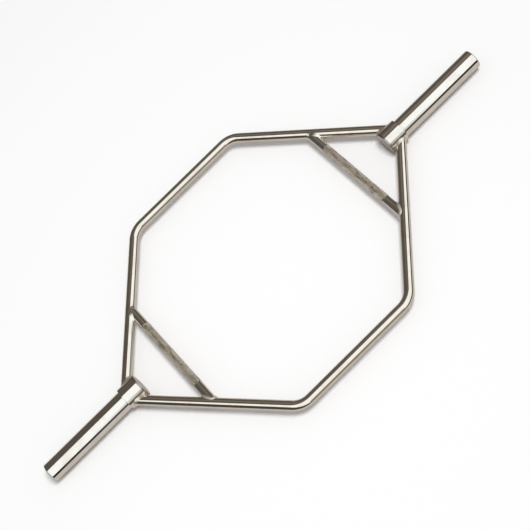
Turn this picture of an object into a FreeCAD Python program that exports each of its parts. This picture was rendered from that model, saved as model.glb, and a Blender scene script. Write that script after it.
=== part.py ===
import FreeCAD, Part
import os
from FreeCAD import Vector
from Sketcher import Constraint

# Hex trap bar for strength training, lying on the floor, in millimetres.
# +X runs along the sleeves, +Y to the rear, +Z up. The origin is on the floor below the middle of the bar.
# Two bent bars make a long hexagon, a knurled handle crosses it beside each end, and the bars are welded
# to a stop collar on each sleeve.

# The driving sizes
SIZES = {
    "overall_length": 1422,      # from one sleeve's end to the other's
    "loading_length": 249,       # bare sleeve, from the collar's shoulder to the sleeve's end
    "sleeve_diameter": 50,       # fits weight plates of the 50 mm class
    "sleeve_wall": 12,
    "spigot_diameter": 46,       # the sleeve is turned down to this inside the collar
    "sleeve_end_chamfer": 2,
    "collar_length": 51,         # shoulder to inner face, with the end plate
    "collar_diameter": 61,
    "collar_chamfer": 0.8,
    "end_plate_thickness": 4,
    "end_plate_chamfer": 1,
    "plug_thickness": 10,
    "plug_recess": 1.5,          # the plug's face lies this far inside the sleeve's end
    "plug_chamfer": 0.8,
    "frame_width": 678,          # between the axes of the two long sides
    "side_depth": 242,           # along X, from the collar's inner face to the bent bar's corner
    "bend_radius": 55,           # on the bar's axis
    "bar_diameter": 26,
    "hand_gap": 101,             # along X, from the collar's inner face to the handle's axis
    "handle_diameter": 22.4,
    "knurl_diameter": 23,        # over the crests of the knurl
    "knurl_length": 220,
    "knurl_chamfer": 0.2,
    "handle_weld_reach": 4,      # along the handle
    "handle_weld_rise": 1.6,     # along the frame bar
    "handle_weld_setback": 1,    # the bead stops this far short of the frame bar's middle
    "bar_weld_reach": 5,         # along the frame bar
    "bar_weld_rise": 1.5,        # along the collar
    "root_gap": 0.1,             # between a coped end, its bead and what they are welded to
    "slip_clearance": 0.05,      # on the radius, between the spigot and collar, and the bore and plug
}

# Places and radii worked out from the driving sizes
WORKED = {
    "axis_height": "=Sizes.collar_diameter / 2",
    "sleeve_end": "=Sizes.overall_length / 2",
    "shoulder": "=sleeve_end - Sizes.loading_length",
    "collar_inner_face": "=shoulder - Sizes.collar_length",
    "collar_start": "=collar_inner_face + Sizes.end_plate_thickness",
    "collar_radius": "=Sizes.collar_diameter / 2",
    "collar_bore": "=Sizes.spigot_diameter + 2 * Sizes.slip_clearance",
    "sleeve_bore": "=Sizes.sleeve_diameter - 2 * Sizes.sleeve_wall",
    "plug_diameter": "=sleeve_bore - 2 * Sizes.slip_clearance",
    "plug_end": "=sleeve_end - Sizes.plug_recess",
    "plug_start": "=plug_end - Sizes.plug_thickness",
    "bar_radius": "=Sizes.bar_diameter / 2",
    "handle_radius": "=Sizes.handle_diameter / 2",
    # the corner is where the axes of a long side and a slanting side would meet
    "corner_x": "=collar_inner_face - Sizes.side_depth",
    "corner_y": "=Sizes.frame_width / 2",
    # a slanting side points at the middle of the collar's side and would meet the sleeve's axis at meet_x
    "foot_x": "=shoulder - Sizes.collar_length / 2",
    "side_slope": "=(foot_x - corner_x) / (corner_y - collar_radius)",
    "meet_x": "=foot_x + collar_radius * side_slope",
    "side_length": "=sqrt((meet_x - corner_x) ^ 2 + corner_y ^ 2)",
    "handle_x": "=collar_inner_face - Sizes.hand_gap",
    "handle_reach": "=(meet_x - handle_x) / side_slope",
    "handle_length": "=2 * (handle_reach + bar_radius)",
}

# Every piece is modelled at the right end or the front, and turned half round for the left end or the rear
AS_MODELLED, HALF_TURN = 0, 180
QUARTER_TURN = 90
FRONT, REAR = -1, 1      # the sign of Y
NEAR = 1e-6


def make_sheet(doc, name, cells):
    """A sheet with one named cell a row."""
    sheet = doc.addObject("Spreadsheet::Sheet", name)
    for row, (alias, content) in enumerate(cells.items(), start=1):
        sheet.set(f"A{row}", alias)
        sheet.set(f"B{row}", str(content))
        sheet.setAlias(f"B{row}", alias)
    return sheet


def bind(item, formulas):
    """Tie an object's properties to formulas."""
    for name, formula in formulas.items():
        item.setExpression(name, formula)


def stand(item, label, turn):
    """Name a finished piece, turn it about the middle of the bar and lift it to the sleeves' height."""
    item.Label = label
    item.setExpression("Placement", f"placement(vector(0; 0; Worked.axis_height); rotation({turn}; 0; 0))")
    return item


def origin_plane(body, role):
    """One of a body's own origin planes."""
    return next(plane for plane in body.Origin.OriginFeatures if plane.Role == role)


def new_sketch(body, name, role):
    """An empty sketch on one of the body's origin planes."""
    sketch = body.newObject("Sketcher::SketchObject", name)
    sketch.AttachmentSupport = (origin_plane(body, role), [""])
    sketch.MapMode = "FlatFace"
    return sketch


def add_circle(sketch, name, diameter):
    """A circle about the sketch's origin."""
    size = sketch.evalExpression(diameter)
    index = sketch.addGeometry(Part.Circle(Vector(), Vector(0, 0, 1), size / 2))
    sketch.addConstraint(Constraint("Coincident", index, 3, -1, 1))
    sketch.renameConstraint(sketch.addConstraint(Constraint("Diameter", index, size)), name)
    sketch.setExpression(f"Constraints.{name}", diameter)


def rim_edges(shape, x, radius):
    """Names of the circular edges of one radius at one place along X."""
    return [
        f"Edge{number}"
        for number, edge in enumerate(shape.Edges, start=1)
        if isinstance(edge.Curve, Part.Circle)
        and abs(edge.Curve.Center.x - x) < NEAR
        and abs(edge.Curve.Radius - radius) < NEAR
    ]


def add_step(body, name, start, end, outer, inner):
    """One length of a turned piece: a disc, or a ring where it has an inner diameter."""
    outline = new_sketch(body, f"{name}_outline", "YZ_Plane")
    outline.setExpression("AttachmentOffset.Base.z", start)
    add_circle(outline, "outer_diameter", outer)
    if inner:
        add_circle(outline, "inner_diameter", inner)
    step = body.newObject("PartDesign::Pad", name)
    step.Profile = outline
    step.setExpression("Length", f"{end} - ({start})")
    body.Document.recompute()
    return step


def chamfer_rims(body, name, step, diameter, places, size):
    """Chamfer a turned piece's rims of one diameter, at some places along X."""
    radius = step.evalExpression(diameter) / 2
    edges = [edge for place in places for edge in rim_edges(step.Shape, step.evalExpression(place), radius)]
    bevel = body.newObject("PartDesign::Chamfer", name)
    bevel.Base = (step, edges)
    bevel.setExpression("Size", size)


def sleeve(doc, label, turn):
    """Thick tube with a spigot inside the collar, its open end chamfered so that plates slide on."""
    body = doc.addObject("PartDesign::Body", label)
    bore = "Worked.sleeve_bore"
    outer = "Sizes.sleeve_diameter"
    end = "Worked.sleeve_end"
    add_step(body, f"{label}_spigot", "Worked.collar_start", "Worked.shoulder", "Sizes.spigot_diameter", bore)
    tube = add_step(body, f"{label}_tube", "Worked.shoulder", end, outer, bore)
    chamfer_rims(body, f"{label}_lead_in", tube, outer, [end], "Sizes.sleeve_end_chamfer")
    return stand(body, label, turn)


def collar(doc, label, turn):
    """Stop ring on the sleeve: its outer face is the shoulder that the plates rest against."""
    body = doc.addObject("PartDesign::Body", label)
    outer = "Sizes.collar_diameter"
    shoulder = "Worked.shoulder"
    ring = add_step(body, f"{label}_ring", "Worked.collar_start", shoulder, outer, "Worked.collar_bore")
    chamfer_rims(body, f"{label}_rim", ring, outer, [shoulder], "Sizes.collar_chamfer")
    return stand(body, label, turn)


def collar_end_plate(doc, label, turn):
    """Flat disc over the inner end of the collar and sleeve."""
    body = doc.addObject("PartDesign::Body", label)
    outer = "Sizes.collar_diameter"
    face = "Worked.collar_inner_face"
    plate = add_step(body, f"{label}_disc", face, "Worked.collar_start", outer, None)
    chamfer_rims(body, f"{label}_rim", plate, outer, [face], "Sizes.end_plate_chamfer")
    return stand(body, label, turn)


def sleeve_end_plug(doc, label, turn):
    """Disc pressed into the sleeve's open end."""
    body = doc.addObject("PartDesign::Body", label)
    outer = "Worked.plug_diameter"
    faces = ["Worked.plug_start", "Worked.plug_end"]
    plug = add_step(body, f"{label}_disc", *faces, outer, None)
    chamfer_rims(body, f"{label}_rims", plug, outer, faces, "Sizes.plug_chamfer")
    return stand(body, label, turn)


def bend_path(body, name):
    """Axis of half the front bar: half the long side, the bend and the slanting side."""
    path = new_sketch(body, name, "XY_Plane")
    worked = body.Document.Worked
    corner = Vector(worked.corner_x, -worked.corner_y)
    meet = Vector(worked.meet_x, 0)
    radius = body.Document.Sizes.bend_radius
    along = Vector(1, 0)
    aside = (meet - corner).normalize()
    turn = along.getAngle(aside)
    tangent_length = radius * (1 - along.dot(aside)) / along.cross(aside).Length
    bend_start = corner - along * tangent_length
    bend_end = corner + aside * tangent_length
    centre = bend_start + Vector(0, radius)
    circle = Part.Circle(centre, Vector(0, 0, 1), radius)
    start_angle = circle.parameter(bend_start)
    long_run = path.addGeometry(Part.LineSegment(Vector(0, corner.y), bend_start))
    bend = path.addGeometry(Part.ArcOfCircle(circle, start_angle, start_angle + turn))
    side_run = path.addGeometry(Part.LineSegment(bend_end, meet))
    corner_point = path.addGeometry(Part.Point(corner), True)
    path.addConstraint([
        Constraint("PointOnObject", long_run, 1, -2),
        Constraint("Horizontal", long_run),
        Constraint("Tangent", long_run, 2, bend, 1),
        Constraint("Tangent", bend, 2, side_run, 1),
        Constraint("PointOnObject", side_run, 2, -1),
        Constraint("PointOnObject", corner_point, 1, long_run),
        Constraint("PointOnObject", corner_point, 1, side_run),
    ])
    for size_name, constraint, formula in (
        ("corner_x", Constraint("DistanceX", -1, 1, corner_point, 1, corner.x), "Worked.corner_x"),
        ("corner_y", Constraint("DistanceY", corner_point, 1, -1, 1, -corner.y), "Worked.corner_y"),
        ("meet_x", Constraint("DistanceX", -1, 1, side_run, 2, meet.x), "Worked.meet_x"),
        ("bend_radius", Constraint("Radius", bend, radius), "Sizes.bend_radius"),
    ):
        path.renameConstraint(path.addConstraint(constraint), size_name)
        path.setExpression(f"Constraints.{size_name}", formula)
    return path


def frame_bar(doc, label, turn):
    """Round bar bent twice. Its ends are coped to the collars' round sides."""
    body = doc.addObject("PartDesign::Body", label)
    path = bend_path(body, f"{label}_path")
    section = new_sketch(body, f"{label}_section", "YZ_Plane")
    section.setExpression("AttachmentOffset.Base.x", "-Worked.corner_y")
    add_circle(section, "bar_diameter", "Sizes.bar_diameter")
    doc.recompute()
    half = body.newObject("PartDesign::AdditivePipe", f"{label}_half")
    half.Profile = section
    half.Spine = (path, ["Edge1", "Edge2", "Edge3"])
    doc.recompute()
    whole = body.newObject("PartDesign::Mirrored", f"{label}_whole")
    whole.Originals = [half]
    whole.MirrorPlane = (origin_plane(body, "YZ_Plane"), [""])
    body.Tip = whole
    doc.recompute()
    cope_outline = new_sketch(body, f"{label}_cope_outline", "YZ_Plane")
    add_circle(cope_outline, "cope_diameter", "Sizes.collar_diameter + 2 * Sizes.root_gap")
    cope = body.newObject("PartDesign::Pocket", f"{label}_cope")
    cope.Profile = cope_outline
    cope.SideType = "Symmetric"
    cope.setExpression("Length", "Sizes.overall_length")
    return stand(body, label, turn)


def rod_along_y(doc, name, radius, length):
    """Round rod on a handle's axis, centred on the bar's middle line."""
    rod = doc.addObject("Part::Cylinder", name)
    bind(rod, {
        "Radius": radius,
        "Height": length,
        "Placement": f"placement(vector(Worked.handle_x; -({length}) / 2; 0); rotation(0; 0; -{QUARTER_TURN}))",
    })
    return rod


def side_yaw(side):
    """Direction of a slanting side, from the sleeve's axis out to the corner."""
    return f"atan2({side} * Worked.corner_y; Worked.corner_x - Worked.meet_x)"


def rod_along_side(doc, name, radius, side):
    """Round rod on the axis of a slanting side at the right end."""
    rod = doc.addObject("Part::Cylinder", name)
    bind(rod, {
        "Radius": radius,
        "Height": "Worked.side_length",
        "Placement":
            f"placement(vector(Worked.meet_x; 0; 0); rotation({side_yaw(side)}; {QUARTER_TURN}; 0))",
    })
    return rod


def block_beyond_side(doc, name, side, setback):
    """Block outside a slanting side, from its axis, or a setback nearer than that, outwards."""
    block = doc.addObject("Part::Box", name)
    depth = "Sizes.bar_diameter + Sizes.handle_diameter"
    height = "2 * Sizes.collar_diameter"
    start = f"-({depth})" if side == REAR else f"-({setback})"
    bind(block, {
        "Length": "Worked.side_length",
        "Width": f"{depth} + {setback}",
        "Height": height,
        "Placement":
            f"placement(vector(Worked.meet_x; 0; 0); rotation({side_yaw(side)}; 0; 0))"
            f" * placement(vector(0; {start}; -({height}) / 2); rotation(0; 0; 0))",
    })
    return block


def joined(doc, name, pieces):
    """Union of several shapes."""
    union = doc.addObject("Part::MultiFuse", name)
    union.Shapes = pieces
    return union


def cut_away(doc, name, base, tool):
    """One shape less another."""
    cut = doc.addObject("Part::Cut", name)
    cut.Base = base
    cut.Tool = tool
    return cut


def handle(doc, label, turn):
    """Round bar across the frame, knurled in the middle. Its ends are coped to the slanting sides."""
    core = rod_along_y(doc, f"{label}_core", "Worked.handle_radius", "Worked.handle_length")
    band = rod_along_y(doc, f"{label}_band", "Sizes.knurl_diameter / 2", "Sizes.knurl_length")
    rims = doc.addObject("Part::Chamfer", f"{label}_band_rims")
    rims.Base = band
    doc.recompute()
    chamfer = doc.Sizes.knurl_chamfer
    rims.Edges = [
        (number, chamfer, chamfer)
        for number, edge in enumerate(band.Shape.Edges, start=1)
        if isinstance(edge.Curve, Part.Circle)
    ]
    copes = []
    for side, side_name in ((FRONT, "front"), (REAR, "rear")):
        seat = "Worked.bar_radius + Sizes.root_gap"
        copes.append(rod_along_side(doc, f"{label}_{side_name}_cope", seat, side))
        copes.append(block_beyond_side(doc, f"{label}_{side_name}_beyond", side, "0"))
    bar = joined(doc, f"{label}_bar", [core, rims])
    return stand(cut_away(doc, label, bar, joined(doc, f"{label}_copes", copes)), label, turn)


def bead(doc, label, first, second, cleared):
    """Weld metal that lies close to two rods, less what is cleared away."""
    close = doc.addObject("Part::MultiCommon", f"{label}_close")
    close.Shapes = [first, second]
    return cut_away(doc, label, close, joined(doc, f"{label}_cleared", cleared))


def handle_weld(doc, label, turn, side):
    """Bead round the end of a handle, on the slanting side that it is coped to."""
    gap = "Sizes.root_gap"
    length = "Worked.handle_length"
    run = bead(
        doc, label,
        rod_along_y(doc, f"{label}_outside", "Worked.handle_radius + Sizes.handle_weld_rise", length),
        rod_along_side(doc, f"{label}_side", "Worked.bar_radius + Sizes.handle_weld_reach", side),
        [
            rod_along_y(doc, f"{label}_handle", f"Worked.handle_radius + {gap}", length),
            rod_along_side(doc, f"{label}_bar", f"Worked.bar_radius + {gap}", side),
            block_beyond_side(doc, f"{label}_beyond", side, "Sizes.handle_weld_setback"),
        ],
    )
    return stand(run, label, turn)


def rod_along_sleeve(doc, name, radius):
    """Round rod as long as the collar with its plate, on the sleeve's axis."""
    rod = doc.addObject("Part::Cylinder", name)
    bind(rod, {
        "Radius": radius,
        "Height": "Sizes.collar_length",
        "Placement":
            f"placement(vector(Worked.collar_inner_face; 0; 0); rotation(0; {QUARTER_TURN}; 0))",
    })
    return rod


def bar_weld(doc, label, turn, side):
    """Bead round the end of a frame bar, on the side of the collar."""
    gap = "Sizes.root_gap"
    run = bead(
        doc, label,
        rod_along_side(doc, f"{label}_outside", "Worked.bar_radius + Sizes.bar_weld_rise", side),
        rod_along_sleeve(doc, f"{label}_round", "Worked.collar_radius + Sizes.bar_weld_reach"),
        [
            rod_along_side(doc, f"{label}_bar", f"Worked.bar_radius + {gap}", side),
            rod_along_sleeve(doc, f"{label}_collar", f"Worked.collar_radius + {gap}"),
        ],
    )
    return stand(run, label, turn)


def build(doc):
    """All the pieces, in the order of assembly."""
    pieces = [
        frame_bar(doc, "frame_bar_front", AS_MODELLED),
        frame_bar(doc, "frame_bar_rear", HALF_TURN),
    ]
    for end_name, turn in (("left", HALF_TURN), ("right", AS_MODELLED)):
        pieces += [
            sleeve(doc, f"sleeve_{end_name}", turn),
            collar(doc, f"collar_{end_name}", turn),
            collar_end_plate(doc, f"collar_end_plate_{end_name}", turn),
            sleeve_end_plug(doc, f"sleeve_end_plug_{end_name}", turn),
            handle(doc, f"handle_{end_name}", turn),
        ]
        for side_name, side in (("front", FRONT), ("rear", REAR)):
            # the half turn of the left end swaps its front and rear
            modelled_side = -side if turn == HALF_TURN else side
            pieces.append(handle_weld(doc, f"handle_weld_{end_name}_{side_name}", turn, modelled_side))
            pieces.append(bar_weld(doc, f"bar_weld_{end_name}_{side_name}", turn, modelled_side))
    return pieces


def check(doc, pieces):
    """Stop if anything failed to build."""
    for item in doc.Objects:
        if "Invalid" in item.State or "Error" in item.State:
            raise RuntimeError(f"{item.Label} failed: {item.State}")
    for piece in pieces:
        if piece.Shape.isNull() or not piece.Shape.isValid():
            raise RuntimeError(f"{piece.Label} has no valid shape")
        if len(piece.Shape.Solids) != 1:
            raise RuntimeError(f"{piece.Label} has {len(piece.Shape.Solids)} solids")


def main():
    """Build the bar, check it and write one file for each piece."""
    doc = FreeCAD.newDocument("HexTrapBar")
    make_sheet(doc, "Sizes", SIZES)
    make_sheet(doc, "Worked", WORKED)
    doc.recompute()
    pieces = build(doc)
    doc.recompute()
    check(doc, pieces)
    os.makedirs("parts", exist_ok=True)
    for piece in pieces:
        piece.Shape.exportStep(f"parts/{piece.Label}.step")
        box = piece.Shape.BoundBox
        print(f"{piece.Label}: {piece.Shape.Volume:.0f} mm3, z {box.ZMin:.2f} to {box.ZMax:.2f}")


main()
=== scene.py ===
"""Hex trap bar: plated frame bars, knurled handles, sleeves and welds on a white studio floor."""

import logging
import math
from dataclasses import dataclass
from enum import Enum

import bmesh
import bpy
import numpy as np
from mathutils import Matrix, Vector


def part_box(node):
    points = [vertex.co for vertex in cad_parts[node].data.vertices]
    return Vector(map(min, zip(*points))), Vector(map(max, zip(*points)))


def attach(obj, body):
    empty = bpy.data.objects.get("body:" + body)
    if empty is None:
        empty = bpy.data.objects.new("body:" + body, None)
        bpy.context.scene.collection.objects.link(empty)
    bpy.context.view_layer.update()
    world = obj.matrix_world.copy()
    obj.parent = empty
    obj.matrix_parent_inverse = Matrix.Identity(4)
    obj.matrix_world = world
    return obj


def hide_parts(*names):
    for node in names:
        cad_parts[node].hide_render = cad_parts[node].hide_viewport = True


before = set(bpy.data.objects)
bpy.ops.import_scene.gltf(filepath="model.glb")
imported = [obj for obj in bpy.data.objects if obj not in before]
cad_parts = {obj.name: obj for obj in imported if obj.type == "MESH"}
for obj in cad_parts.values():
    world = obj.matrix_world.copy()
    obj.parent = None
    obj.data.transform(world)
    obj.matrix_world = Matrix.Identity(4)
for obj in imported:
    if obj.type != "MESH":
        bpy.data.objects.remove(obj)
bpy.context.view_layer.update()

LOG = logging.getLogger("hex_trap_bar")
Colour = tuple[float, float, float, float]
Point = tuple[float, float, float]
Span = tuple[float, float]
Outline = list[tuple[float, float]]
Ring = list[bmesh.types.BMEdge]
Socket = bpy.types.NodeSocket

MILLIMETRE = 0.001
# Points closer together than these gaps, in metres, are merged.
MERGE_GAP = 1e-6
MIRROR_GAP = 1e-5
# Faces that meet at more than this angle keep a sharp edge.
SHARP_ANGLE = math.radians(32)
# How far from its ends a long run of a turned outline gets a corner.
RIM_GUARD = 1.2 * MILLIMETRE
UPWARDS = Vector((0, 0, 1))


class End(Enum):
    """The two loading ends of the bar, by the sign of their X."""

    LEFT = -1
    RIGHT = 1

    @property
    def word(self) -> str:
        """The end's name as the CAD nodes write it."""
        return self.name.lower()


class Side(Enum):
    """The front and rear of the hexagon, by the sign of their Y."""

    FRONT = -1
    REAR = 1

    @property
    def word(self) -> str:
        """The side's name as the CAD nodes write it."""
        return self.name.lower()


@dataclass(frozen=True)
class Rod:
    """A straight round bar, taken as endless, for copes and weld seams."""

    point: Vector
    axis: Vector
    radius: float

    def outward(self, place: Vector) -> Vector:
        """Find the skin's outward direction.

        Args:
            place: A point on or near the skin.

        Returns:
            The unit direction straight away from the rod's axis.
        """
        gap = place - self.point
        return (gap - self.axis * gap.dot(self.axis)).normalized()

    def onto(self, place: Vector) -> Vector:
        """Find the nearest point of the skin.

        Args:
            place: A point near the skin.

        Returns:
            The point moved straight in or out onto the skin.
        """
        centre = self.point + self.axis * (place - self.point).dot(self.axis)
        return centre + self.outward(place) * self.radius

    def meet(self, start: Vector, heading: Vector) -> Vector:
        """Slide a point until it touches the rod's skin.

        Args:
            start: A point outside the rod.
            heading: The unit direction to slide in.

        Returns:
            The first point of the slide that lies on the skin.
        """
        across = heading - self.axis * heading.dot(self.axis)
        gap = start - self.point
        gap = gap - self.axis * gap.dot(self.axis)
        square = across.dot(across)
        half = gap.dot(across)
        rest = gap.dot(gap) - self.radius**2
        root = math.sqrt(max(half * half - square * rest, 0.0))
        return start + heading * ((-half - root) / square)


@dataclass(frozen=True)
class BarLayout:
    """The places and sizes that the pieces share, in metres."""

    axis_height: float
    bar_radius: float
    long_side_y: float
    collar_radius: float
    collar_start: float
    plate_start: float
    shoulder: float
    handle_x: float
    grip_radius: float
    side_depth: float = 0.242
    bend_radius: float = 0.055

    @classmethod
    def from_frame(cls) -> "BarLayout":
        """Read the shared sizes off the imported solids' boxes.

        Returns:
            The layout.
        """
        bar_low, bar_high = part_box("frame_bar_rear")
        collar_low, collar_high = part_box("collar_right")
        plate_low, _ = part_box("collar_end_plate_right")
        grip_low, grip_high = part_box("handle_right")
        bar_radius = (bar_high[2] - bar_low[2]) / 2
        return cls(
            axis_height=(collar_low[2] + collar_high[2]) / 2,
            bar_radius=bar_radius,
            long_side_y=bar_high[1] - bar_radius,
            collar_radius=(collar_high[2] - collar_low[2]) / 2,
            collar_start=collar_low[0],
            plate_start=plate_low[0],
            shoulder=collar_high[0],
            handle_x=(grip_low[0] + grip_high[0]) / 2,
            grip_radius=(grip_high[0] - grip_low[0]) / 2,
        )

    @property
    def corner(self) -> Vector:
        """The point where the right rear long side and side run would cross."""
        return Vector((self.plate_start - self.side_depth, self.long_side_y, self.axis_height))

    @property
    def foot(self) -> Vector:
        """The point of the right collar's skin that the rear side run is aimed at."""
        return Vector(((self.plate_start + self.shoulder) / 2, self.collar_radius, self.axis_height))

    @property
    def side_heading(self) -> Vector:
        """The direction of the right rear side run, from corner to collar."""
        return (self.foot - self.corner).normalized()

    def collar_rod(self) -> Rod:
        """The collar's skin as a rod along X."""
        return Rod(Vector((0, 0, self.axis_height)), Vector((1, 0, 0)), self.collar_radius)

    def side_rod(self) -> Rod:
        """The right rear side run as a rod."""
        return Rod(self.corner, self.side_heading, self.bar_radius)

    def handle_rod(self, radius: float) -> Rod:
        """The right handle as a rod along Y, with the radius that is given."""
        return Rod(Vector((self.handle_x, 0, self.axis_height)), Vector((0, 1, 0)), radius)


@dataclass(frozen=True)
class Grain:
    """A noise pattern: waves per metre, finer layers, their strength, and its stretch on each axis."""

    scale: float
    detail: float = 2.0
    rough: float = 0.5
    stretch: Point = (1.0, 1.0, 1.0)


class NodeBoard:
    """A node tree with short calls that place and wire its nodes."""

    # The Mix node has sockets for every kind of data. These are its two colours and the mixed colour.
    FIRST_COLOUR, SECOND_COLOUR, MIXED_COLOUR = 6, 7, 2

    def __init__(self, tree: bpy.types.NodeTree) -> None:
        """Clear the tree and keep it.

        Args:
            tree: The node tree of a material or a world.
        """
        tree.nodes.clear()
        self.tree = tree

    def node(self, kind: str, **settings: object) -> bpy.types.Node:
        """Add a node.

        Args:
            kind: The node's type name.
            settings: Properties to set on the node.

        Returns:
            The new node.
        """
        made = self.tree.nodes.new(kind)
        for name, value in settings.items():
            setattr(made, name, value)
        return made

    def wire(self, source: Socket, target: Socket) -> None:
        """Link one socket to another."""
        self.tree.links.new(source, target)

    def feed(self, target: Socket, value: object) -> None:
        """Link a socket into the target, or set the target.

        Args:
            target: The socket that is fed.
            value: A socket, a number or a colour.
        """
        if isinstance(value, Socket):
            self.wire(value, target)
        else:
            target.default_value = value

    def math(self, operation: str, *values: object) -> Socket:
        """Add a Math node.

        Args:
            operation: The node's operation.
            values: The sockets or numbers that it works on.

        Returns:
            The result socket.
        """
        made = self.node("ShaderNodeMath", operation=operation)
        for target, value in zip(made.inputs, values):
            self.feed(target, value)
        return made.outputs[0]

    def span(self, value: Socket, low: float, high: float, start: float = 0.0, stop: float = 1.0) -> Socket:
        """Map a value smoothly from one range to another.

        Args:
            value: The socket to map.
            low: The value that gives start.
            high: The value that gives stop.
            start: The result at low.
            stop: The result at high.

        Returns:
            The mapped socket.
        """
        made = self.node("ShaderNodeMapRange", interpolation_type="SMOOTHSTEP")
        self.wire(value, made.inputs["Value"])
        made.inputs["From Min"].default_value = low
        made.inputs["From Max"].default_value = high
        made.inputs["To Min"].default_value = start
        made.inputs["To Max"].default_value = stop
        return made.outputs["Result"]

    def blend(self, share: object, first: object, second: object) -> Socket:
        """Mix two colours.

        Args:
            share: How much of the second shows, a socket or a number.
            first: A socket or a colour.
            second: A socket or a colour.

        Returns:
            The mixed colour.
        """
        made = self.node("ShaderNodeMix", data_type="RGBA")
        self.feed(made.inputs["Factor"], share)
        self.feed(made.inputs[self.FIRST_COLOUR], first)
        self.feed(made.inputs[self.SECOND_COLOUR], second)
        return made.outputs[self.MIXED_COLOUR]

    def place(self, centre: Vector | None = None, stretch: Point = (1.0, 1.0, 1.0)) -> Socket:
        """Give Object coordinates, moved to a centre and stretched.

        Args:
            centre: The point that becomes the pattern's origin.
            stretch: The scale along each axis.

        Returns:
            The vector socket.
        """
        where = self.node("ShaderNodeTexCoord").outputs["Object"]
        if centre is None and stretch == (1.0, 1.0, 1.0):
            return where
        made = self.node("ShaderNodeMapping", vector_type="POINT")
        made.inputs["Scale"].default_value = stretch
        if centre is not None:
            made.inputs["Location"].default_value = [-c * s for c, s in zip(centre, stretch)]
        self.wire(where, made.inputs["Vector"])
        return made.outputs["Vector"]

    def reach(self, centre: Vector | None = None, stretch: Point = (1.0, 1.0, 1.0)) -> Socket:
        """Measure the distance from a centre.

        Args:
            centre: The point to measure from.
            stretch: The scale along each axis, 0 for an axis that is left out.

        Returns:
            The distance socket.
        """
        made = self.node("ShaderNodeVectorMath", operation="LENGTH")
        self.wire(self.place(centre, stretch), made.inputs[0])
        return made.outputs["Value"]

    def axes(self, where: Socket) -> tuple[Socket, ...]:
        """Split a vector into its parts.

        Args:
            where: The vector socket.

        Returns:
            The X, Y and Z sockets.
        """
        made = self.node("ShaderNodeSeparateXYZ")
        self.wire(where, made.inputs[0])
        return tuple(made.outputs)

    def noise(self, grain: Grain, centre: Vector | None = None) -> Socket:
        """Add a Noise texture.

        Args:
            grain: The pattern to make.
            centre: The point that becomes the pattern's origin.

        Returns:
            The noise value.
        """
        made = self.node("ShaderNodeTexNoise")
        self.wire(self.place(centre, grain.stretch), made.inputs["Vector"])
        made.inputs["Scale"].default_value = grain.scale
        made.inputs["Detail"].default_value = grain.detail
        made.inputs["Roughness"].default_value = grain.rough
        return made.outputs[0]

    def bump(self, height: Socket, depth: float, under: Socket | None = None) -> Socket:
        """Turn a height into a tilted normal.

        Args:
            height: The height, from 0 to 1.
            depth: The real height of a full step, in metres.
            under: A normal that this one is laid on.

        Returns:
            The normal socket.
        """
        made = self.node("ShaderNodeBump")
        made.inputs["Strength"].default_value = 1.0
        made.inputs["Distance"].default_value = depth
        self.wire(height, made.inputs["Height"])
        if under is not None:
            self.wire(under, made.inputs["Normal"])
        return made.outputs["Normal"]

    def surface(self, shader: Socket, output: str = "ShaderNodeOutputMaterial") -> None:
        """Wire a shader to a new output node."""
        self.wire(shader, self.node(output).inputs["Surface"])

    def metal(self) -> bpy.types.Node:
        """Add a metallic Principled shader and wire it to the output.

        Returns:
            The shader node.
        """
        shader = self.node("ShaderNodeBsdfPrincipled")
        shader.inputs["Metallic"].default_value = 1.0
        self.surface(shader.outputs[0])
        return shader


class Finish:
    """A finish that makes its material once and hands it out."""

    name: str

    def dress(self, board: NodeBoard) -> None:
        """Fill the material's node tree."""
        raise NotImplementedError

    def material(self) -> bpy.types.Material:
        """Give the finish's material, made on the first call.

        Returns:
            The material.
        """
        made = bpy.data.materials.get(self.name)
        if made is None:
            made = bpy.data.materials.new(self.name)
            made.use_nodes = True
            self.dress(NodeBoard(made.node_tree))
        return made


class PatchyPlate(Finish):
    """Plate whose colour and gloss drift together between clear and dulled patches."""

    clear: Colour
    dulled: Colour
    gloss: Span
    patches: Grain
    dull_patch: Span
    rough_patch: Span

    def lay_patches(self, board: NodeBoard, shader: bpy.types.Node) -> None:
        """Wire the patches into the shader's colour and roughness.

        Args:
            board: The material's node board.
            shader: The metal shader.
        """
        pattern = board.noise(self.patches)
        colour = board.blend(board.span(pattern, *self.dull_patch), self.clear, self.dulled)
        board.wire(colour, shader.inputs["Base Color"])
        board.wire(board.span(pattern, *self.rough_patch, *self.gloss), shader.inputs["Roughness"])


@dataclass(frozen=True)
class BrightPlate(PatchyPlate):
    """Warm bright nickel plate with a faint buffed waviness and handling haze."""

    name: str = "bright_nickel_plate"
    clear: Colour = (0.80, 0.76, 0.70, 1.0)
    dulled: Colour = (0.73, 0.685, 0.62, 1.0)
    gloss: Span = (0.055, 0.13)
    patches: Grain = Grain(26.0, 5.0, 0.62)
    dull_patch: Span = (0.42, 0.68)
    rough_patch: Span = (0.40, 0.72)
    glancing: Colour = (0.85, 0.82, 0.78, 1.0)
    waves: Grain = Grain(22.0, 1.0, 0.4)
    wave_depth: float = 0.03 * MILLIMETRE
    scratches: Grain = Grain(1400.0, 2.0, 0.6)
    scratch_depth: float = 0.0012 * MILLIMETRE

    def dress(self, board: NodeBoard) -> None:
        """Wire colour, haze and waviness into a metal shader.

        Args:
            board: The material's node board.
        """
        shader = board.metal()
        shader.inputs["Specular Tint"].default_value = self.glancing
        self.lay_patches(board, shader)
        waves = board.bump(board.noise(self.waves), self.wave_depth)
        scratched = board.bump(board.noise(self.scratches), self.scratch_depth, waves)
        board.wire(scratched, shader.inputs["Normal"])


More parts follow.
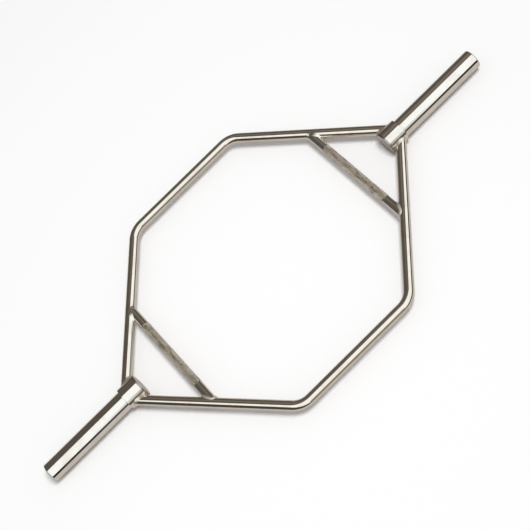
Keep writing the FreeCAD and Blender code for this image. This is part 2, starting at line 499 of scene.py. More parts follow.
@dataclass(frozen=True)
class KnurlPlate(Finish):
    """Dull plate on the knurl: painted shade in the cuts, streaked along the handle, a painted sheen on the
    flanks.
    """

    end: End
    layout: BarLayout
    valley_radius: float
    bright: Colour = (1.0, 0.90, 0.77, 1.0)
    brown: Colour = (0.57, 0.41, 0.265, 1.0)
    olive: Colour = (0.68, 0.64, 0.48, 1.0)
    # Painted sheen: a paler, less metallic colour that lightens the handle's flanks.
    dust: Colour = (0.72, 0.68, 0.63, 1.0)
    # Painted shade: the share of the colour left at the bottom of the knurl's cuts.
    cut_shade: float = 0.66
    gloss: Span = (0.34, 0.48)
    long_streaks: Grain = Grain(230.0, 2.0, 0.6, (1.0, 0.15, 1.0))
    long_weight: float = 3.6
    short_streaks: Grain = Grain(440.0, 2.0, 0.6, (1.0, 0.4, 1.0))
    short_weight: float = 3.0
    wheel_lengths: Span = (0.037, 0.045)
    wheel_turns: Span = (2.0, -3.0)
    wheel_weight: float = 0.14
    worn_range: Span = (2.78, 3.46)
    stains: Grain = Grain(190.0)
    olive_range: Span = (0.42, 0.62)
    grit: Grain = Grain(2600.0, 3.0, 0.6)
    grit_depth: float = 0.01 * MILLIMETRE
    # Where the painted sheen lies on each flank, how strong it is, and the noise that breaks it into patches.
    left_flank: Span = (-0.40, -1.0)
    left_dust: float = 0.70
    left_sheen_patches: Grain = Grain(150.0, 2.0, 0.6, (1.0, 0.5, 1.0))
    left_range: Span = (0.42, 0.56)
    left_least: float = 0.15
    right_flank: Span = (0.35, 1.0)
    right_dust: float = 0.28
    right_sheen_patches: Grain = Grain(48.0, 1.0)
    right_range: Span = (0.36, 0.52)

    @property
    def name(self) -> str:
        """One material for each handle, because the depth is measured from its axis."""
        return f"knurled_plate_{self.end.word}"

    def streaks(self, board: NodeBoard, along: Socket, around: Socket) -> Socket:
        """Add long streaks, short streaks and the knurling wheel's two helical waves.

        Args:
            board: The material's node board.
            along: The place along the handle.
            around: The angle round the handle.

        Returns:
            How bright the plate is worn, from 0 to 1.
        """
        height = board.math("MULTIPLY", board.noise(self.long_streaks), self.long_weight)
        short = board.math("MULTIPLY", board.noise(self.short_streaks), self.short_weight)
        height = board.math("ADD", height, short)
        for length, turns in zip(self.wheel_lengths, self.wheel_turns):
            phase = board.math("MULTIPLY", along, 2 * math.pi / length)
            phase = board.math("ADD", phase, board.math("MULTIPLY", around, turns))
            wave = board.math("MULTIPLY", board.math("SINE", phase), self.wheel_weight)
            height = board.math("ADD", height, wave)
        return board.span(height, *self.worn_range)

    def paint_flank_sheen(self, board: NodeBoard, across: Socket, axis: Vector) -> Socket:
        """Paint a sheen, in patches, on the two flanks.

        Args:
            board: The material's node board.
            across: The place across the handle.
            axis: A point on the handle's axis.

        Returns:
            How much of the painted sheen covers the plate, from 0 to 1.
        """
        side = board.math("DIVIDE", across, self.layout.grip_radius)
        left = board.span(side, *self.left_flank, 0.0, self.left_dust)
        unevenness = board.span(board.noise(self.left_sheen_patches), *self.left_range, self.left_least, 1.0)
        left = board.math("MULTIPLY", left, unevenness)
        right = board.span(side, *self.right_flank, 0.0, self.right_dust)
        unevenness = board.span(board.noise(self.right_sheen_patches, axis), *self.right_range)
        right = board.math("MULTIPLY", right, unevenness)
        return board.math("ADD", left, right)

    def dress(self, board: NodeBoard) -> None:
        """Streak the crests, paint shade in the cuts and paint a sheen on the flanks.

        Args:
            board: The material's node board.
        """
        shader = board.metal()
        axis = Vector((self.end.value * self.layout.handle_x, 0, self.layout.axis_height))
        across, along, up = board.axes(board.place(axis))
        height = board.span(board.reach(axis, (1, 0, 1)), self.valley_radius, self.layout.grip_radius)
        streak = self.streaks(board, along, board.math("ARCTAN2", across, up))
        olive_share = board.span(board.noise(self.stains, axis), *self.olive_range)
        worn = board.blend(streak, board.blend(olive_share, self.brown, self.olive), self.bright)
        # Painted shade: the colour darkens towards the bottom of the cuts.
        shade = board.node("ShaderNodeVectorMath", operation="SCALE")
        board.wire(worn, shade.inputs[0])
        board.wire(board.span(height, 0.0, 1.0, self.cut_shade, 1.0), shade.inputs["Scale"])
        # Painted sheen: the flanks turn paler and less metallic.
        sheen_share = self.paint_flank_sheen(board, across, axis)
        board.wire(board.blend(sheen_share, shade.outputs["Vector"], self.dust), shader.inputs["Base Color"])
        board.wire(board.math("SUBTRACT", 1.0, sheen_share), shader.inputs["Metallic"])
        board.wire(board.span(streak, 0.0, 1.0, *self.gloss), shader.inputs["Roughness"])
        board.wire(board.bump(board.noise(self.grit, axis), self.grit_depth), shader.inputs["Normal"])


@dataclass(frozen=True)
class TurnedPlate(PatchyPlate):
    """Satin plate, painted darker as shade, with fine turning rings round the sleeve's axis."""

    axis_height: float
    name: str = "turned_satin_plate"
    # Painted shade: these colours are darker than the bright plate's, standing in for the shaded floor that
    # the end plate mirrors; the plug shares them.
    clear: Colour = (0.50, 0.445, 0.415, 1.0)
    dulled: Colour = (0.40, 0.35, 0.325, 1.0)
    gloss: Span = (0.24, 0.38)
    patches: Grain = Grain(70.0, 4.0, 0.6)
    dull_patch: Span = (0.36, 0.66)
    rough_patch: Span = (0.35, 0.70)
    ring_pitch: float = 0.35 * MILLIMETRE
    ring_depth: float = 0.004 * MILLIMETRE

    def dress(self, board: NodeBoard) -> None:
        """Cut rings about the axis and vary the colour in patches.

        Args:
            board: The material's node board.
        """
        shader = board.metal()
        self.lay_patches(board, shader)
        reach = board.reach(Vector((0, 0, self.axis_height)), (0, 1, 1))
        turns = board.math("MULTIPLY", reach, 2 * math.pi / self.ring_pitch)
        rings = board.math("MULTIPLY_ADD", board.math("SINE", turns), 0.5, 0.5)
        board.wire(board.bump(rings, self.ring_depth), shader.inputs["Normal"])


@dataclass(frozen=True)
class PlatedWeld(PatchyPlate):
    """Weld metal plated over with the frame: bright, a little rough and pitted."""

    name: str = "plated_weld"
    clear: Colour = (0.92, 0.82, 0.69, 1.0)
    dulled: Colour = (0.50, 0.42, 0.335, 1.0)
    gloss: Span = (0.36, 0.50)
    patches: Grain = Grain(620.0, 4.0, 0.6)
    dull_patch: Span = (0.52, 0.68)
    rough_patch: Span = (0.38, 0.70)
    pits: Grain = Grain(900.0, 3.0, 0.55)
    pit_depth: float = 0.012 * MILLIMETRE

    def dress(self, board: NodeBoard) -> None:
        """Mix clean and dull patches and pit the surface.

        Args:
            board: The material's node board.
        """
        shader = board.metal()
        self.lay_patches(board, shader)
        board.wire(board.bump(board.noise(self.pits), self.pit_depth), shader.inputs["Normal"])


def make_piece(bm: bmesh.types.BMesh, name: str, node: str, finish: Finish) -> bpy.types.Object:
    """Close a mesh, dress it and set it in place of its CAD node.

    Args:
        bm: The finished bmesh, which is freed.
        name: The new piece's name.
        node: The CAD node that the piece stands for.
        finish: The finish that dresses it.

    Returns:
        The piece's object.
    """
    bmesh.ops.remove_doubles(bm, verts=bm.verts[:], dist=MERGE_GAP)
    bmesh.ops.recalc_face_normals(bm, faces=bm.faces[:])
    mesh = bpy.data.meshes.new(name)
    bm.to_mesh(mesh)
    bm.free()
    mesh.shade_smooth()
    mesh.set_sharp_from_angle(angle=SHARP_ANGLE)
    mesh.materials.append(finish.material())
    piece = bpy.data.objects.new(name, mesh)
    bpy.context.scene.collection.objects.link(piece)
    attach(piece, "root")
    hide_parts(node)
    LOG.info("%s: %d faces for %s", name, len(mesh.polygons), node)
    return piece


def facing(axis: Vector, centre: Vector) -> Matrix:
    """Give the matrix that stands a flat ring at a centre, square to an axis."""
    return Matrix.Translation(centre) @ axis.to_track_quat("Z", "Y").to_matrix().to_4x4()


def open_ring(bm: bmesh.types.BMesh, matrix: Matrix, radius: float, sides: int) -> Ring:
    """Start a tube with an open ring.

    Args:
        bm: The bmesh to add to.
        matrix: Where the ring stands.
        radius: The ring's radius.
        sides: How many edges the ring has.

    Returns:
        The ring's edges.
    """
    made = bmesh.ops.create_circle(bm, cap_ends=False, radius=radius, segments=sides, matrix=matrix)
    return list(dict.fromkeys(edge for vert in made["verts"] for edge in vert.link_edges))


def ring_verts(edges: Ring) -> list[bmesh.types.BMVert]:
    """Give the vertices of a ring of edges, each once."""
    return list(dict.fromkeys(vert for edge in edges for vert in edge.verts))


def draw_out(bm: bmesh.types.BMesh, edges: Ring, move: Vector) -> Ring:
    """Draw a ring out into the next stretch of tube.

    Args:
        bm: The bmesh that holds the ring.
        edges: The ring's edges.
        move: How far the new ring goes.

    Returns:
        The new ring's edges.
    """
    made = bmesh.ops.extrude_edge_only(bm, edges=edges)["geom"]
    fresh = {item for item in made if isinstance(item, bmesh.types.BMVert)}
    bmesh.ops.translate(bm, vec=move, verts=list(fresh))
    return [item for item in made if isinstance(item, bmesh.types.BMEdge) and set(item.verts) <= fresh]


def cope_to(edges: Ring, rod: Rod, heading: Vector) -> None:
    """Slide a ring's vertices along the tube until each touches a rod."""
    for vert in ring_verts(edges):
        vert.co = rod.meet(vert.co, heading)


def close_rings(bm: bmesh.types.BMesh) -> None:
    """Fill every open ring with a fan of faces.

    Args:
        bm: The bmesh to close.
    """
    rims = [edge for edge in bm.edges if edge.is_boundary]
    lids = bmesh.ops.holes_fill(bm, edges=rims, sides=0)["faces"]
    bmesh.ops.poke(bm, faces=lids)


def half_turn(bm: bmesh.types.BMesh) -> None:
    """Turn a piece half round the upright axis, to the bar's other end or side."""
    bmesh.ops.rotate(bm, cent=(0, 0, 0), matrix=Matrix.Rotation(math.pi, 3, "Z"), verts=bm.verts[:])


def guarded(outline: Outline, closed: bool) -> Outline:
    """Add a corner close to each end of the long runs, so that rounded rims don't tilt their shading.

    Args:
        outline: Corners as x and radius, in order round the section.
        closed: Whether a last run leads back to the first corner.

    Returns:
        The outline with the added corners.
    """
    longer = [outline[0]]
    for start, stop in zip(outline, outline[1:] + (outline[:1] if closed else [])):
        run = math.dist(start, stop)
        if run > 4 * RIM_GUARD:
            for share in (RIM_GUARD / run, 1.0 - RIM_GUARD / run):
                x = start[0] + (stop[0] - start[0]) * share
                radius = start[1] + (stop[1] - start[1]) * share
                longer.append((x, radius))
        longer.append(stop)
    return longer[:-1] if closed else longer


def turned(outline: Outline, axis_height: float, steps: int) -> bmesh.types.BMesh:
    """Turn an outline about the sleeve's axis.

    Args:
        outline: Corners as x and radius, in order round the section.
        axis_height: The height of the axis.
        steps: How many steps make the full turn.

    Returns:
        The turned bmesh.
    """
    closed = all(radius > 0 for _, radius in outline)
    bm = bmesh.new()
    corners = [bm.verts.new((x, 0, axis_height + radius)) for x, radius in guarded(outline, closed)]
    path = corners + corners[:1] if closed else corners
    edges = [bm.edges.new(pair) for pair in zip(path, path[1:])]
    bmesh.ops.spin(
        bm,
        geom=corners + edges,
        cent=(0, 0, axis_height),
        axis=(1, 0, 0),
        dvec=(0, 0, 0),
        angle=2 * math.pi,
        steps=steps,
        use_merge=True,
    )
    bmesh.ops.remove_doubles(bm, verts=bm.verts[:], dist=MERGE_GAP)
    bmesh.ops.recalc_face_normals(bm, faces=bm.faces[:])
    return bm


def round_rims(bm: bmesh.types.BMesh, width: float, segments: int = 3, sharper_than: float = 60.0) -> None:
    """Round the sharp rims of a turned piece.

    Args:
        bm: The turned bmesh.
        width: The width of the rounding.
        segments: How many faces make the rounding.
        sharper_than: The angle in degrees above which a rim counts as sharp.
    """
    limit = math.radians(sharper_than)
    rims = [edge for edge in bm.edges if len(edge.link_faces) == 2 and edge.calc_face_angle() > limit]
    bmesh.ops.bevel(
        bm,
        geom=rims,
        offset=width,
        offset_type="OFFSET",
        affect="EDGES",
        segments=segments,
        profile=0.5,
        material=-1,
        clamp_overlap=True,
    )


@dataclass
class FrameBar:
    """One of the two bent bars that make the hexagon."""

    side: Side
    layout: BarLayout
    sides_round: int = 72
    bend_steps: int = 28
    finish: BrightPlate = BrightPlate("warm_nickel_plate", (0.775, 0.72, 0.64, 1.0), (0.70, 0.645, 0.57, 1.0))

    def build(self) -> bpy.types.Object:
        """Draw the bar from its middle round the bend to the collar, mirror it and dress it.

        Returns:
            The bar's object.
        """
        plan = self.layout
        turn = math.acos(plan.side_heading.x)
        bend_start = plan.corner.x - plan.bend_radius * math.tan(turn / 2)
        middle = facing(Vector((1, 0, 0)), Vector((0, plan.long_side_y, plan.axis_height)))
        bm = bmesh.new()
        ring = open_ring(bm, middle, plan.bar_radius, self.sides_round)
        ring = draw_out(bm, ring, Vector((bend_start, 0, 0)))
        bent = bmesh.ops.spin(
            bm,
            geom=ring_verts(ring) + ring,
            cent=(bend_start, plan.long_side_y - plan.bend_radius, plan.axis_height),
            axis=(0, 0, 1),
            dvec=(0, 0, 0),
            angle=-turn,
            steps=self.bend_steps,
        )
        ring = [item for item in bent["geom_last"] if isinstance(item, bmesh.types.BMEdge)]
        ring = draw_out(bm, ring, plan.side_heading * plan.bar_radius)
        ring = draw_out(bm, ring, Vector((0, 0, 0)))
        cope_to(ring, plan.collar_rod(), plan.side_heading)
        bmesh.ops.mirror(bm, geom=bm.verts[:] + bm.edges[:] + bm.faces[:], merge_dist=MIRROR_GAP, axis="X")
        close_rings(bm)
        if self.side is Side.FRONT:
            half_turn(bm)
        word = self.side.word
        return make_piece(bm, f"plated_frame_bar_{word}", f"frame_bar_{word}", self.finish)


@dataclass
class Handle:
    """A straight handle with a diamond knurl in the middle and smooth ends."""

    end: End
    layout: BarLayout
    knurl_length: float = 0.220
    smooth_radius: float = 0.0112
    cut_depth: float = 0.30 * MILLIMETRE
    diamonds_round: int = 50
    diamond_rows: int = 91
    crest_inset: float = 0.44 * MILLIMETRE
    run_out: float = 0.3 * MILLIMETRE
    land: float = 0.6 * MILLIMETRE

    @property
    def valley_radius(self) -> float:
        """The radius at the bottom of the knurl's cuts."""
        return self.layout.grip_radius - self.cut_depth

    @property
    def cut_length(self) -> float:
        """The length of the cuts, between the plain lands at the knurl's ends."""
        return self.knurl_length - 2 * (2 * self.run_out + self.land)

    def knurl(self) -> bmesh.types.BMesh:
        """Roll a sheet of cells into a tube and raise a flat-topped diamond on each crossing.

        Returns:
            The knurled tube, open at both ends.
        """
        bm = bmesh.new()
        bmesh.ops.create_grid(bm, x_segments=self.diamonds_round, y_segments=self.diamond_rows, size=0.5)
        for vert in bm.verts:
            angle = 2 * math.pi * vert.co.x
            along = vert.co.y * self.cut_length
            vert.co = (
                self.layout.handle_x + self.valley_radius * math.sin(angle),
                along,
                self.layout.axis_height + self.valley_radius * math.cos(angle),
            )
        bmesh.ops.remove_doubles(bm, verts=bm.verts[:], dist=MERGE_GAP)
        cell_sides = [edge for edge in bm.edges if not edge.is_boundary]
        bmesh.ops.poke(bm, faces=bm.faces[:])
        bmesh.ops.dissolve_edges(bm, edges=cell_sides, use_verts=False)
        bmesh.ops.recalc_face_normals(bm, faces=bm.faces[:])
        bmesh.ops.inset_individual(
            bm, faces=bm.faces[:], thickness=self.crest_inset, depth=self.cut_depth, use_even_offset=True
        )
        return bm

    def smooth_end(self, bm: bmesh.types.BMesh, side: Side) -> None:
        """Draw one end of the knurled tube out to its cope on the frame bar.

        Args:
            bm: The knurled tube.
            side: Which end is drawn out.
        """
        plan = self.layout
        heading = Vector((0, side.value, 0))
        rim = [edge for edge in bm.edges if edge.is_boundary and edge.verts[0].co.y * side.value > 0]
        for step, radius in (
            (self.run_out, plan.grip_radius),
            (self.land, plan.grip_radius),
            (self.run_out, self.smooth_radius),
            (self.land, self.smooth_radius),
        ):
            rim = draw_out(bm, rim, heading * step)
            skin = plan.handle_rod(radius)
            for vert in ring_verts(rim):
                vert.co = skin.onto(vert.co)
        rim = draw_out(bm, rim, Vector((0, 0, 0)))
        run = plan.side_rod()
        if side is Side.FRONT:
            flip = Matrix.Diagonal((1, -1, 1))
            run = Rod(flip @ run.point, flip @ run.axis, run.radius)
        cope_to(rim, run, heading)

    def build(self) -> bpy.types.Object:
        """Knurl the handle, add its smooth ends and dress both finishes.

        Returns:
            The handle's object.
        """
        bm = self.knurl()
        for side in Side:
            self.smooth_end(bm, side)
        close_rings(bm)
        if self.end is End.LEFT:
            half_turn(bm)
        word = self.end.word
        finish = KnurlPlate(self.end, self.layout, self.valley_radius)
        piece = make_piece(bm, f"knurled_handle_{word}", f"handle_{word}", finish)
        piece.data.materials.append(BrightPlate().material())
        knurl_end = self.cut_length / 2 + self.run_out / 4
        for face in piece.data.polygons:
            if abs(face.center.y) > knurl_end:
                face.material_index = 1
        return piece


@dataclass
class SleeveEnd:
    """A loading sleeve with its stop collar, inner end plate and outer plug."""

    end: End
    layout: BarLayout
    steps_round: int = 144
    sleeve_radius: float = 0.025
    bore_radius: float = 0.013
    spigot_radius: float = 0.023
    spigot_gap: float = 0.05 * MILLIMETRE
    end_chamfer: float = 0.002
    sleeve_rim: float = 0.5 * MILLIMETRE
    sleeve_sharpness: float = 40.0
    plate_rim: float = 0.7 * MILLIMETRE
    collar_rim: float = 0.6 * MILLIMETRE
    plug_rim: float = 0.6 * MILLIMETRE
    plug_steps: int = 96
    dish_depth: float = 0.5 * MILLIMETRE
    dish_mouth_share: float = 0.62
    dish_floor_share: float = 0.56

    def finished(
        self, bm: bmesh.types.BMesh, name: str, node: str, finish: Finish
    ) -> bpy.types.Object:
        """Turn a right-hand piece to this end and hand it over.

        Args:
            bm: The piece, made at the right end.
            name: The new piece's name without its end.
            node: The CAD node's name without its end.
            finish: The finish that dresses it.

        Returns:
            The piece's object.
        """
        if self.end is End.LEFT:
            half_turn(bm)
        word = self.end.word
        return make_piece(bm, f"{name}_{word}", f"{node}_{word}", finish)

    def build_sleeve(self) -> bpy.types.Object:
        """Turn the sleeve with its spigot, bore and chamfered mouth.

        Returns:
            The sleeve's object.
        """
        plan = self.layout
        _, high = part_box("sleeve_right")
        mouth = high[0]
        outline = [
            (plan.collar_start, self.bore_radius),
            (plan.collar_start, self.spigot_radius),
            (plan.shoulder, self.spigot_radius),
            (plan.shoulder, self.sleeve_radius),
            (mouth - self.end_chamfer, self.sleeve_radius),
            (mouth, self.sleeve_radius - self.end_chamfer),
            (mouth, self.bore_radius),
        ]
        bm = turned(outline, plan.axis_height, self.steps_round)
        round_rims(bm, self.sleeve_rim, sharper_than=self.sleeve_sharpness)
        return self.finished(bm, "plated_sleeve", "sleeve", BrightPlate())

    def build_collar(self) -> bpy.types.Object:
        """Turn the stop collar with eased rims.

        Returns:
            The collar's object.
        """
        plan = self.layout
        bore = self.spigot_radius + self.spigot_gap
        outline = [
            (plan.collar_start, bore),
            (plan.collar_start, plan.collar_radius),
            (plan.shoulder, plan.collar_radius),
            (plan.shoulder, bore),
        ]
        bm = turned(outline, plan.axis_height, self.steps_round)
        round_rims(bm, self.collar_rim)
        return self.finished(bm, "plated_collar", "collar", BrightPlate())

    def build_end_plate(self) -> bpy.types.Object:
        """Turn the disc that closes the collar's inner end.

        Returns:
            The disc's object.
        """
        plan = self.layout
        outline = [
            (plan.plate_start, 0.0),
            (plan.plate_start, plan.collar_radius),
            (plan.collar_start, plan.collar_radius),
            (plan.collar_start, 0.0),
        ]
        bm = turned(outline, plan.axis_height, self.steps_round)
        round_rims(bm, self.plate_rim)
        finish = TurnedPlate(plan.axis_height)
        return self.finished(bm, "turned_end_plate", "collar_end_plate", finish)

    def build_plug(self) -> bpy.types.Object:
        """Turn the plug in the sleeve's mouth, with a shallow dish in its face.

        Returns:
            The plug's object.
        """
        plan = self.layout
        low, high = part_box("sleeve_end_plug_right")
        radius = (high[2] - low[2]) / 2
        dish_floor = high[0] - self.dish_depth
        outline = [
            (low[0], 0.0),
            (low[0], radius),
            (high[0], radius),
            (high[0], radius * self.dish_mouth_share),
            (dish_floor, radius * self.dish_floor_share),
            (dish_floor, 0.0),
        ]
        bm = turned(outline, plan.axis_height, self.plug_steps)
        round_rims(bm, self.plug_rim)
        finish = TurnedPlate(plan.axis_height)
        return self.finished(bm, "turned_end_plug", "sleeve_end_plug", finish)

    def build(self) -> None:
        """Build the sleeve, collar, end plate and plug."""
        self.build_sleeve()
        self.build_collar()
        self.build_end_plate()
        self.build_plug()


@dataclass(frozen=True)
class BeadSize:
    """The section of a weld bead: its reach up the branch and out on the carrier, and its face."""

    branch_leg: float
    carrier_leg: float
    crown: float
    ridge: float
    ripple: float


@dataclass
class WeldBead:
    """A rippled weld bead round the seam where one rod meets another."""

    name: str
    node: str
    branch: Rod
    carrier: Rod
    size: BeadSize
    finish: PlatedWeld
    turn_half: bool
    mirror_y: bool
    root_depth: float = 1.2 * MILLIMETRE
    ripple_pitch: float = 2.1 * MILLIMETRE
    ripple_curl: float = 1.6
    narrow_gain: float = 0.45
    sides_round: int = 28
    steps_per_ripple: int = 5
    seam_points: int = 360
    tangent_step: float = 0.004
    blank_radius: float = 1.0
    blank_section: float = 0.25

    def seam(self) -> tuple[np.ndarray, np.ndarray]:
        """Trace the seam and its running length.

        Returns:
            The angles round the branch and the running length at each.
        """
        angles = np.linspace(0.0, 2 * math.pi, self.seam_points + 1)
        points = [self.seam_point(float(angle)) for angle in angles]
        lengths = [0.0]
        for last, here in zip(points, points[1:]):
            lengths.append(lengths[-1] + (here - last).length)
        return angles, np.array(lengths)

    def seam_point(self, angle: float) -> Vector:
        """Find a point of the seam.

        Args:
            angle: The angle round the branch.

        Returns:
            The point where the branch's skin meets the carrier's.
        """
        across = self.branch.axis.cross(UPWARDS).normalized()
        skin = (across * math.cos(angle) + UPWARDS * math.sin(angle)) * self.branch.radius
        return self.carrier.meet(self.branch.point + skin, self.branch.axis)

    def place(self, angle: float, slant: float, phase: float) -> Vector:
        """Give one point of the bead's skin.

        Args:
            angle: The place round the branch.
            slant: The place round the bead's section.
            phase: The ripple's phase at that place.

        Returns:
            The point.
        """
        root = self.seam_point(angle)
        ahead = self.seam_point(angle + self.tangent_step)
        along = (ahead - self.seam_point(angle - self.tangent_step)).normalized()
        first = self.branch.outward(root)
        second = self.carrier.outward(root)
        up = (first + second).normalized()
        narrow = 1.0 - math.cos(first.angle(second) / 2)
        fuller = 1.0 + self.narrow_gain * narrow
        back = along.cross(first)
        away = along.cross(second)
        back = back if back.dot(self.branch.axis) < 0 else -back
        away = away if away.dot(first) > 0 else -away
        branch_toe = self.branch.onto(root + back * self.size.branch_leg * fuller)
        carrier_toe = self.carrier.onto(root + away * self.size.carrier_leg * fuller)
        share = (1.0 + math.sin(slant)) / 2
        face = branch_toe.lerp(carrier_toe, share)
        lift = math.cos(slant)
        if lift > 0:
            ridges = self.size.ridge * math.sin(2 * slant) ** 2
            ripple = self.size.ripple * math.sin(phase - self.ripple_curl * lift)
            return face + up * (lift * (self.size.crown + ripple) + ridges)
        return face + up * (lift * self.root_depth)

    def build(self) -> bpy.types.Object:
        """Spin a blank ring, lay it on the seam with the bead's section and dress it.

        Returns:
            The bead's object.
        """
        angles, lengths = self.seam()
        ripples = round(lengths[-1] / self.ripple_pitch)
        bm = bmesh.new()
        stand = Matrix.Translation((self.blank_radius, 0, 0)) @ Matrix.Rotation(math.pi / 2, 4, "X")
        section = open_ring(bm, stand, self.blank_section, self.sides_round)
        bmesh.ops.spin(
            bm,
            geom=ring_verts(section) + section,
            cent=(0, 0, 0),
            axis=(0, 0, 1),
            dvec=(0, 0, 0),
            angle=2 * math.pi,
            steps=ripples * self.steps_per_ripple,
            use_merge=True,
        )
        for vert in bm.verts:
            share = (math.atan2(vert.co.y, vert.co.x) / (2 * math.pi)) % 1.0
            slant = math.atan2(vert.co.z, math.hypot(vert.co.x, vert.co.y) - self.blank_radius)
            angle = float(np.interp(share * lengths[-1], lengths, angles))
            vert.co = self.place(angle, slant, 2 * math.pi * ripples * share)
        if self.mirror_y:
            bmesh.ops.scale(bm, vec=(1, -1, 1), verts=bm.verts[:])
        if self.turn_half:
            half_turn(bm)
        return make_piece(bm, self.name, self.node, self.finish)


@dataclass
class Welds:
    """The eight beads: handles to frame bars and frame bars to collars."""

    layout: BarLayout
    smooth_radius: float
    front_bead: BeadSize = BeadSize(
        branch_leg=5.0 * MILLIMETRE,
        carrier_leg=2.4 * MILLIMETRE,
        crown=1.7 * MILLIMETRE,
        ridge=0.0,
        ripple=0.09 * MILLIMETRE,
    )
    rear_bead: BeadSize = BeadSize(
        branch_leg=3.0 * MILLIMETRE,
        carrier_leg=4.5 * MILLIMETRE,
        crown=0.10 * MILLIMETRE,
        ridge=0.0,
        ripple=0.03 * MILLIMETRE,
    )
    bar_bead: BeadSize = BeadSize(
        branch_leg=6.0 * MILLIMETRE,
        carrier_leg=1.8 * MILLIMETRE,
        crown=0.10 * MILLIMETRE,
        ridge=0.12 * MILLIMETRE,
        ripple=0.03 * MILLIMETRE,
    )
    satin: PlatedWeld = PlatedWeld()
    # Painted highlight, partly finish: the front handle beads are the same weld as the rear ones but get a
    # paler colour and a rougher finish so that they show lit; the rear beads get a mirror finish.
    matte: PlatedWeld = PlatedWeld(
        "matte_plated_weld", (1.0, 0.93, 0.83, 1.0), (0.84, 0.75, 0.63, 1.0), (0.52, 0.64)
    )
    bright: PlatedWeld = PlatedWeld(
        "bright_plated_weld", (0.80, 0.75, 0.68, 1.0), (0.66, 0.60, 0.52, 1.0), (0.10, 0.20)
    )

    def build(self) -> None:
        """Lay every bead."""
        plan = self.layout
        bar_run = plan.side_rod()
        handle = plan.handle_rod(self.smooth_radius)
        for end in End:
            for side in Side:
                in_front = side is Side.FRONT
                turn_half = end is End.LEFT
                place = f"{end.word}_{side.word}"
                handle_bead = self.front_bead if in_front else self.rear_bead
                handle_finish = self.matte if in_front else self.bright
                for joint, branch, carrier, size, finish in (
                    ("handle", handle, bar_run, handle_bead, handle_finish),
                    ("bar", bar_run, plan.collar_rod(), self.bar_bead, self.satin),
                ):
                    WeldBead(
                        name=f"weld_bead_{joint}_{place}",
                        node=f"{joint}_weld_{place}",
                        branch=branch,
                        carrier=carrier,
                        size=size,
                        finish=finish,
                        turn_half=turn_half,
                        mirror_y=in_front != turn_half,
                    ).build()


@dataclass(frozen=True)
class WhiteFloor(Finish):
    """A white studio floor that keeps the bar's shadow and turns plain white far off."""

    name: str = "white_studio_floor"
    paint: Colour = (0.92, 0.92, 0.92, 1.0)
    # Painted reflection: to the plate, the floor shows greyer than its paint near the bar and nearly black
    # further off.
    mirrored: Colour = (0.64, 0.605, 0.58, 1.0)
    mirrored_far: Colour = (0.03, 0.026, 0.022, 1.0)
    near_reach: Span = (0.10, 0.40)
    plain_reach: Span = (1.1, 2.4)

    def dress(self, board: NodeBoard) -> None:
        """Lay lit paint, plain white far from the bar, and a greyer floor in the plate's mirror.

        Args:
            board: The material's node board.
        """
        path = board.node("ShaderNodeLightPath")
        fading = board.span(path.outputs["Ray Length"], *self.near_reach)
        mirrored = board.blend(fading, self.mirrored, self.mirrored_far)
        lit = board.node("ShaderNodeBsdfDiffuse")
        board.wire(board.blend(path.outputs["Is Glossy Ray"], self.paint, mirrored), lit.inputs["Color"])
        white = board.node("ShaderNodeEmission")
        far = board.span(board.reach(), *self.plain_reach)
        mix = board.node("ShaderNodeMixShader")
        board.wire(board.math("MULTIPLY", far, path.outputs["Is Camera Ray"]), mix.inputs["Fac"])
        board.wire(lit.outputs[0], mix.inputs[1])
        board.wire(white.outputs[0], mix.inputs[2])
        board.surface(mix.outputs[0])


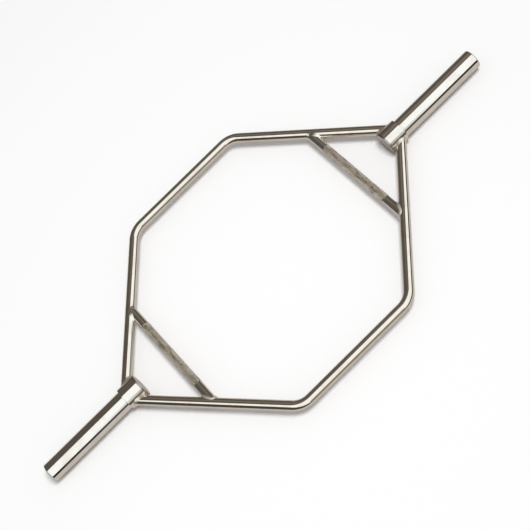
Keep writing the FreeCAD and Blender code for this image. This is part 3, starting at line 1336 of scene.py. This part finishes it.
@dataclass(frozen=True)
class MirroredRoom:
    """The room that the plate mirrors, by direction: softbox, dark rear, dark skirting and a stand."""

    softbox: Colour = (1.20, 1.25, 1.28, 1.0)
    rear_wall: Colour = (0.115, 0.102, 0.088, 1.0)
    rear_glow: Colour = (0.21, 0.185, 0.16, 1.0)
    front_gap: Colour = (0.022, 0.019, 0.016, 1.0)
    west_gap: Colour = (0.075, 0.066, 0.057, 1.0)
    stand: Colour = (0.32, 0.29, 0.265, 1.0)
    rear_lean_up: float = 0.22
    rear_lean_east: float = 0.07
    rear_fade: Span = (-0.02, 0.05)
    low_fade: Span = (0.20, 0.28)
    west_start: float = -0.15
    west_lift: float = 0.75
    glow_heading: Point = (0.27, 0.57, 0.78)
    glow_fade: Span = (0.93, 0.99)
    west_fade: Span = (-0.15, -0.45)
    wall_fade: Span = (-0.15, 0.15)
    stand_east: float = 0.04
    stand_width: Span = (0.22, 0.11)
    stand_top: Span = (0.66, 0.42)
    stand_front: Span = (0.0, -0.1)

    def lit_share(self, board: NodeBoard, east: Socket, north: Socket, up: Socket) -> Socket:
        """Find where the softbox shows.

        Args:
            board: The world's node board.
            east: The direction's X.
            north: The direction's Y.
            up: The direction's Z.

        Returns:
            How much of the softbox shows, from 0 to 1.
        """
        lean_up = board.math("MULTIPLY", up, self.rear_lean_up)
        lean = board.math("SUBTRACT", lean_up, board.math("MULTIPLY", east, self.rear_lean_east))
        rear_edge = board.math("SUBTRACT", lean, north)
        west = board.math("MAXIMUM", board.math("SUBTRACT", self.west_start, east), 0.0)
        low_edge = board.math("SUBTRACT", up, board.math("MULTIPLY", west, self.west_lift))
        return board.math(
            "MULTIPLY", board.span(rear_edge, *self.rear_fade), board.span(low_edge, *self.low_fade)
        )

    def paint(self, board: NodeBoard) -> Socket:
        """Paint the room.

        Args:
            board: The world's node board.

        Returns:
            The room's colour by direction.
        """
        heading = board.node("ShaderNodeTexCoord").outputs["Generated"]
        east, north, up = board.axes(heading)
        glow = board.node("ShaderNodeVectorMath", operation="DOT_PRODUCT")
        board.wire(heading, glow.inputs[0])
        glow.inputs[1].default_value = Vector(self.glow_heading).normalized()
        rear = board.blend(board.span(glow.outputs["Value"], *self.glow_fade), self.rear_wall, self.rear_glow)
        gap = board.blend(board.span(east, *self.west_fade), self.front_gap, self.west_gap)
        dark = board.blend(board.span(north, *self.wall_fade), gap, rear)
        room = board.blend(self.lit_share(board, east, north, up), dark, self.softbox)
        off_centre = board.math("ABSOLUTE", board.math("SUBTRACT", east, self.stand_east))
        column = board.span(off_centre, *self.stand_width)
        column = board.math("MULTIPLY", column, board.span(up, *self.stand_top))
        column = board.math("MULTIPLY", column, board.span(north, *self.stand_front))
        return board.blend(column, room, self.stand)


@dataclass
class Studio:
    """The floor, the soft key lamp and the studio that the plate mirrors."""

    floor_reach: float = 9.0
    floor_sides: int = 96
    key_place: Point = (1.15, -1.40, 5.60)
    key_aim: Point = (-6.0, 5.0, 0.0)
    key_size: float = 2.20
    key_power: float = 290.0
    fill: float = 0.49
    room: MirroredRoom = MirroredRoom()

    def lay_floor(self) -> None:
        """Lay a round floor at the height that the bar rests on."""
        bm = bmesh.new()
        bmesh.ops.create_circle(bm, cap_ends=True, radius=self.floor_reach, segments=self.floor_sides)
        mesh = bpy.data.meshes.new("studio_floor")
        bm.to_mesh(mesh)
        bm.free()
        mesh.materials.append(WhiteFloor().material())
        floor = bpy.data.objects.new("studio_floor", mesh)
        bpy.context.scene.collection.objects.link(floor)

    def hang_key(self) -> None:
        """Hang the soft key light, aimed past the far end so that the floor is lit evenly.

        The plate mirrors the studio's softbox instead of it.
        """
        light = bpy.data.lights.new("key_light", "AREA")
        light.shape = "DISK"
        light.size = self.key_size
        light.energy = self.key_power
        lamp = bpy.data.objects.new("key_light", light)
        place = Vector(self.key_place)
        lamp.matrix_world = facing((place - Vector(self.key_aim)).normalized(), place)
        lamp.visible_glossy = False
        bpy.context.scene.collection.objects.link(lamp)

    def paint_world(self) -> None:
        """Paint white for the camera, an even fill, and the room that the plate mirrors."""
        world = bpy.data.worlds.new("studio_world")
        world.use_nodes = True
        bpy.context.scene.world = world
        board = NodeBoard(world.node_tree)
        path = board.node("ShaderNodeLightPath")
        fill = (self.fill, self.fill, self.fill, 1.0)
        seen = board.blend(path.outputs["Is Glossy Ray"], fill, self.room.paint(board))
        seen = board.blend(path.outputs["Is Camera Ray"], seen, (1.0, 1.0, 1.0, 1.0))
        sky = board.node("ShaderNodeBackground")
        board.wire(seen, sky.inputs["Color"])
        board.surface(sky.outputs[0], "ShaderNodeOutputWorld")

    def build(self) -> None:
        """Lay the floor, hang the key and paint the world."""
        self.lay_floor()
        self.hang_key()
        self.paint_world()


@dataclass
class PhotoCamera:
    """The camera at the photograph's viewing angle."""

    aim_height: float
    aim_x: float = -0.0002
    aim_y: float = -0.0048
    distance: float = 2.7795
    azimuth: float = -4.19
    elevation: float = 58.6
    roll: float = -40.94
    lens: float = 78.72
    sensor_width: float = 36.0
    sight_end: float = 60.0

    def build(self) -> None:
        """Stand the camera off the point that it is aimed at, and roll it."""
        turn = math.radians(self.azimuth)
        rise = math.radians(self.elevation)
        back = Vector((math.sin(turn) * math.cos(rise), -math.cos(turn) * math.cos(rise), math.sin(rise)))
        data = bpy.data.cameras.new("photo_camera")
        data.lens = self.lens
        data.sensor_width = self.sensor_width
        data.clip_end = self.sight_end
        camera = bpy.data.objects.new("photo_camera", data)
        aim = Vector((self.aim_x, self.aim_y, self.aim_height))
        rolled = facing(back, aim + back * self.distance) @ Matrix.Rotation(math.radians(self.roll), 4, "Z")
        camera.matrix_world = rolled
        bpy.context.scene.collection.objects.link(camera)
        bpy.context.scene.camera = camera


def main() -> None:
    """Build the camera, the studio and every piece of the bar."""
    logging.basicConfig(level=logging.INFO, format="%(name)s %(message)s")
    bpy.context.scene.view_settings.view_transform = "Standard"
    layout = BarLayout.from_frame()
    PhotoCamera(layout.axis_height).build()
    Studio().build()
    for side in Side:
        FrameBar(side, layout).build()
    for end in End:
        Handle(end, layout).build()
        SleeveEnd(end, layout).build()
    Welds(layout, Handle.smooth_radius).build()


if __name__ == "__main__":
    main()
